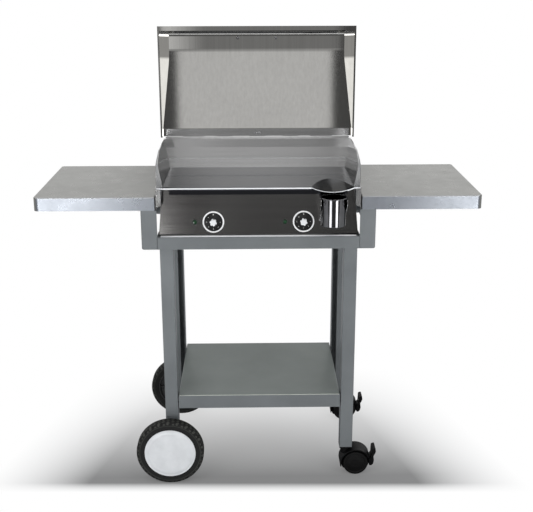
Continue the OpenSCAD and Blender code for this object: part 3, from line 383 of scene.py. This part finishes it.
# The finish of each material slot, then those of the few nodes that have their own
FINISHES = {
    "cart_paint": cart_coat(),
    "table_paint": table_coat(),
    "zinc": plated("zinc", (150, 150, 152), (175, 175, 178), 0.25),
    "axle_steel": plated("drawn_steel", (170, 170, 172), (190, 190, 192), 0.18),
    "tyre": tyre_rubber(),
    "rim": moulded("rim_black", (26, 26, 27), (38, 38, 39)),
    "wheel_cover": moulded("cover_grey", (200, 202, 204), (212, 214, 216), 0.35, texture=900, relief=0.05),
    "caster_plastic": moulded("caster_black", (5, 5, 6), (9, 9, 10), Specular_IOR_Level=0.12),
    "caster_tread": moulded("caster_rubber", (8, 8, 8), (15, 15, 15), 0.6, Specular_IOR_Level=0.15),
    "stainless": brushed("guard_steel", (222, 222, 222), (238, 238, 238), roughness=0.15, grain=0.07),
    "panel_steel": panel_sheet(),
    "hood_steel": brushed("hood_steel", (178, 177, 174), (198, 197, 194), "z", 0.03, grain=0.01, relief=0.02),
    "plate_steel": griddle_plate(),
    "element": moulded("element_tube", (70, 64, 58), (96, 90, 84), 0.55),
    "shield": brushed("shield_sheet", (176, 178, 180), (200, 202, 204), roughness=0.4),
    "thermostat": moulded("thermostat_case", (196, 188, 164), (208, 200, 178), 0.6),
    "dial_black": dial_face(),
    "dial_white": moulded("ring_white", (226, 226, 226), (236, 236, 236), 0.22, texture=300, relief=0.02),
    "chrome": plated("bright_plating", (205, 206, 208), (225, 226, 228), 0.08),
    "lamp": lamp_lens(),
    "rubber": moulded("gland_rubber", (22, 22, 22), (32, 32, 32), 0.7),
    "cup": plated("cup_mirror", (104, 104, 106), (118, 118, 120), 0.04),
}
GRIP = moulded("grip_silver", (206, 207, 208), (222, 223, 224), 0.3, texture=500, relief=0.03)
OWN_FINISH = {"dial_cap_left": GRIP, "dial_cap_right": GRIP, "lower_shelf": shelf_coat()}

for entry in frame["record"]["subparts"]:
    mesh = NODES[entry["node"]].data
    mesh.materials.clear()
    mesh.materials.append(OWN_FINISH.get(entry["node"], FINISHES[entry["material_slot"]]))


# ---------------------------------------------------------------- pieces beside the CAD nodes

def piece(name, points, faces, finish, body, smooth=True):
    """A mesh with its place in its points, riding on a body of the frame."""
    mesh = bpy.data.meshes.new(name)
    mesh.from_pydata(np.asarray(points).reshape(-1, 3).tolist(), [], faces)
    mesh.polygons.foreach_set("use_smooth", np.full(len(mesh.polygons), smooth))
    mesh.materials.append(finish)
    made = bpy.data.objects.new(name, mesh)
    bpy.context.scene.collection.objects.link(made)
    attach(made, body)


def tube_faces(rings, corners):
    """Quads between closed rings of corners, and a face over each end."""
    i, j = np.meshgrid(np.arange(rings - 1), np.arange(corners), indexing="ij")
    after = (j + 1) % corners
    quads = (i * corners + j, i * corners + after, (i + 1) * corners + after, (i + 1) * corners + j)
    first, last = list(range(corners)), list(range(corners * (rings - 1), corners * rings))
    return np.stack(quads, -1).reshape(-1, 4).tolist() + [first[::-1], last]


def strip(name, path, section, finish):
    """Closed section of (y, z) offsets carried along x, each ring in the y-z plane of its point on the path.
    Millimetres; y is the depth behind the front apron's face."""
    rings = path[:, None, :] + np.pad(section, ((0, 0), (1, 0)))[None]
    piece(name, rings * MM - np.array([0, BACK_SHIFT, 0]), tube_faces(len(path), len(section)), finish, "cart")


def round_section(radius, corners=8):
    """A circle: radius * (cos t, sin t) at equal steps of t."""
    turn = np.linspace(0, 2 * np.pi, corners + 1)[:-1]
    return radius * np.stack([np.cos(turn), np.sin(turn)], -1)


def level_path(half_length, depth=0.0, height=0.0):
    """Nine points on a level line along x, from -half_length to half_length."""
    count = 9
    return np.stack([np.linspace(-half_length, half_length, count), np.full(count, depth),
                     np.full(count, height)], -1)


def nose_edge():
    """Painted highlight along the plate's front edge: a light round section along x at the nose, whose height
    follows the pouring
    dip: z = top - dip + r - sqrt(r^2 - (x - c)^2) for |x - c| < half the dip's width, else the plate's top."""
    top, dip, half, centre, reach = 893.0, 13.0, 60.0, 208.0, 285.0
    depth, below_top = 12.0, 1.6
    r = (half ** 2 + dip ** 2) / (2 * dip)
    x = np.linspace(-reach, reach, 240)
    sunk = np.clip(dip - r + np.sqrt(np.clip(r ** 2 - (x - centre) ** 2, 0, None)), 0, dip)
    path = np.stack([x, np.full_like(x, depth), top - below_top - sunk], -1)
    # A light bead as a painted highlight along the plate's front edge
    nose_highlight_finish = bright_edge("nose_highlight", (226, 227, 229), (238, 239, 241), 0.25)
    strip("nose_edge", path, round_section(2.0, 12), nose_highlight_finish)


def back_seam():
    """Painted highlight on the crease across the guard's back: a thin light round section along x where its
    lower face bends.
    """
    crease = bright_edge("crease_highlight", (196, 197, 198), (210, 211, 212), 0.3)
    strip("back_seam", level_path(270, 298.8, 920.0), round_section(0.8), crease)


def foot_lip():
    """Folded lip under the panel's foot, white with a painted highlight, and painted dark behind where the panel
    shades it: a sheet section sloping down to the front, carried along x."""
    spine = np.array([[23.0, 757.2], [5.0, 756.6], [3.2, 756.2], [2.4, 755.4]])
    underside = spine + [0.25, -0.7]
    section = np.concatenate([spine, underside[::-1]])[::-1]
    strip("foot_lip", level_path(276), section, lip_sheet())


def shelf_edge():
    """Painted highlight on the shelf's front fold: a thin light round section along x."""
    # A light bead as a painted highlight along the fold
    rubbed = bright_edge("shelf_edge_highlight", (176, 180, 170), (196, 200, 190), 0.35)
    strip("shelf_edge", level_path(237.0, 0.9, 266.5), round_section(0.9), rubbed)


def dial_numbers(side, centre_x, ink):
    """Light numbers 1 to 6 round the dial, 45 degrees apart, clockwise from its right-hand side."""
    size, ring, half_thick, height = 0.0048, 0.0192, 0.0002, 0.00485
    centre = PANEL_FOOT + CONTROL_Z * PANEL_UP + Vector((centre_x, 0, 0))
    points, faces = [], []
    for number in range(1, 7):
        around = math.radians(45 * (number + 1))
        text = bpy.data.curves.new("number", "FONT")
        text.body, text.size, text.extrude, text.resolution_u = str(number), size, half_thick, 3
        text.align_x, text.align_y = "CENTER", "CENTER"
        word = bpy.data.objects.new("number", text)
        shape = word.to_mesh()
        flat = np.empty(len(shape.vertices) * 3)
        shape.vertices.foreach_get("co", flat)
        flat = flat.reshape(-1, 3) + [ring * math.sin(around), ring * math.cos(around), height]
        faces += [[len(points) + v for v in polygon.vertices] for polygon in shape.polygons]
        points += (np.array(centre) + flat @ np.array([[1, 0, 0], PANEL_UP, PANEL_OUT])).tolist()
        word.to_mesh_clear()
        bpy.data.objects.remove(word)
        bpy.data.curves.remove(text)
    piece("numbers_" + side, points, faces, ink, "dial_" + side, smooth=False)


nose_edge()
back_seam()
foot_lip()
shelf_edge()
NUMBER_INK = bright_edge("number_ink", (214, 214, 210), (226, 226, 222), 0.4)
dial_numbers("left", -DIAL_X, NUMBER_INK)
dial_numbers("right", DIAL_X, NUMBER_INK)


# ---------------------------------------------------------------- studio

class Studio(Graph):
    """The world's nodes, laid out by direction: x across, y away from the photograph's camera, z up."""

    def __init__(self):
        world = bpy.data.worlds.new("studio")
        bpy.context.scene.world = world
        world.use_nodes = True
        super().__init__(world.node_tree, "Generated")

    def light(self, colour, strength=1.0):
        return self.node("Background", {}, Color=colour, Strength=strength)


def grey(level, blue=1.0):
    return (level, level, level * blue, 1)


def room_before(room):
    """What polished steel mirrors of the room on the camera's side of the cart."""
    across, up = room.axis("x"), room.axis("z")
    aside = across.size()

    # A wall, dim low down and bright above
    level = room.mix(up.within(-0.04, 0.12), grey(0.28), grey(0.79))
    # A light patch low on its left
    patch = across.within(-0.05, -0.086) * (1 - up.within(-0.05, 0.0)) * up.within(-0.16, -0.12)
    level = room.mix(patch, level, grey(0.85))
    # Darkness beyond both ends of it, which lie a little further out low down
    upper = up.within(0.0, 0.06)
    gaps = (across - 0.004).size().within(0.079, 0.082) * upper + aside.within(0.09, 0.095) * (1 - upper)
    level = room.mix(gaps, level, grey(0.1))
    # Light again further out: low on the left first, then on both sides
    level = room.mix(across.within(-0.14, -0.18) * (1 - up.within(-0.02, 0.03)), level, grey(0.9))
    level = room.mix(aside.within(0.22, 0.42), level, grey(0.8))
    # A narrow bright screen high on each side
    screen = (1 - (aside - 0.45).size().within(0.015, 0.06)) * up.within(0.3, 0.42)
    level = room.mix(screen, level, grey(2.5))
    # The floor: dark in the middle, bluish and lighter beside it, dark again further out
    floor = room.mix((across - 0.02).size().within(0.2, 0.32), grey(0.14), grey(0.5, 1.08))
    floor = room.mix(aside.within(0.56, 0.66), floor, grey(0.16))
    return room.mix(up.within(-0.17, -0.12), floor, level)


def room_behind(room):
    """What it mirrors of the room behind the cart: white, but dim in the middle and greyer far out."""
    aside = room.axis("x").size()
    level = room.mix(aside.within(0.07, 0.14), grey(0.55), grey(1.0))
    return room.mix(aside.within(0.4, 0.7), level, grey(0.74))


def backdrop():
    """White to the eye, an even soft light on matt surfaces, and the room of light and dark walls in gloss."""
    room = Studio()
    behind = room.axis("y").within(-0.4, 0.1)
    gloss = room.light(room.mix(behind, room_before(room), room_behind(room)))
    camera, glossy, clear = (room.node("LightPath", out="Is %s Ray" % kind)
                             for kind in ("Camera", "Glossy", "Transmission"))
    lit = room.node("MixShader", {}, glossy, room.light((0.8, 0.82, 0.85, 1), 0.58), gloss)
    seen = room.node("MixShader", {}, camera + clear, lit, room.light((1, 1, 1, 1)))
    room.tree.links.new(seen.socket, room.tree.nodes["World Output"].inputs["Surface"])


def floor_paint():
    """Pale floor, white to the eye but for a painted grey shadow round the cart: it starts sharply just before
    the wheels and fades to the back, and to both sides, further out at the front."""
    pale = (232, 232, 232)
    paint = Finish("floor_pale", pale, 0.9)
    across, deep = paint.axis("x"), paint.depth()
    # Painted shadow: the floor's colour darkens round the cart
    front_edge = (deep + 0.02 * across).within(-0.102, -0.05)
    dark = front_edge * (1 - (deep + 0.01).within(0.0, 0.8)) * 0.88
    dark = dark * (1 - ((across + 0.02).size() + 0.3 * deep).within(0.48, 0.8))
    paint.set("Base Color", paint.shade(dark, pale, (88, 88, 88)))
    white = paint.node("Emission", {}, Color=(1, 1, 1, 1), Strength=1.0)
    to_white = (1 - dark) * paint.node("LightPath", out="Is Camera Ray")
    mixed = paint.node("MixShader", {}, to_white, Amount(paint, paint.surface.outputs[0]), white)
    paint.tree.links.new(mixed.socket, paint.tree.nodes["Material Output"].inputs["Surface"])
    return paint.material


def lay_floor():
    """A broad floor, from 2 m before the cart to nearly 5 m behind it."""
    side, front, back = 4, -2.2, 5
    mesh = bpy.data.meshes.new("floor")
    corners = [(-side, front, 0), (side, front, 0), (side, back, 0), (-side, back, 0)]
    mesh.from_pydata(corners, [], [(0, 1, 2, 3)])
    mesh.materials.append(floor_paint())
    ground = bpy.data.objects.new("floor", mesh)
    bpy.context.scene.collection.objects.link(ground)


# Place, edge length in metres, watts, and whether polished steel mirrors it
LAMPS = {
    "key": ((-2.1, -2.7, 3.3), 2.8, 56, False),
    "fill": ((2.2, -2.7, 3.1), 2.8, 52, False),
    "top": ((0.0, 0.2, 3.6), 2.6, 8, False),
    "low_left": ((-1.35, -3.0, 0.1), 1.0, 20, True),
    "low_right": ((1.65, -3.0, 0.1), 1.0, 22, True),
}


def hang_lamps():
    """Broad soft lamps, all aimed at the middle of the cart."""
    target = Vector((0, 0, 0.7))
    for name, (place, size, power, mirrored) in LAMPS.items():
        lamp = bpy.data.lights.new(name, "AREA")
        lamp.size, lamp.energy = size, power
        holder = bpy.data.objects.new(name, lamp)
        bpy.context.scene.collection.objects.link(holder)
        holder.visible_glossy = mirrored
        holder.location = place
        holder.rotation_euler = (target - Vector(place)).to_track_quat("-Z", "Y").to_euler()


bpy.context.scene.view_settings.view_transform = "Standard"
backdrop()
lay_floor()
hang_lamps()
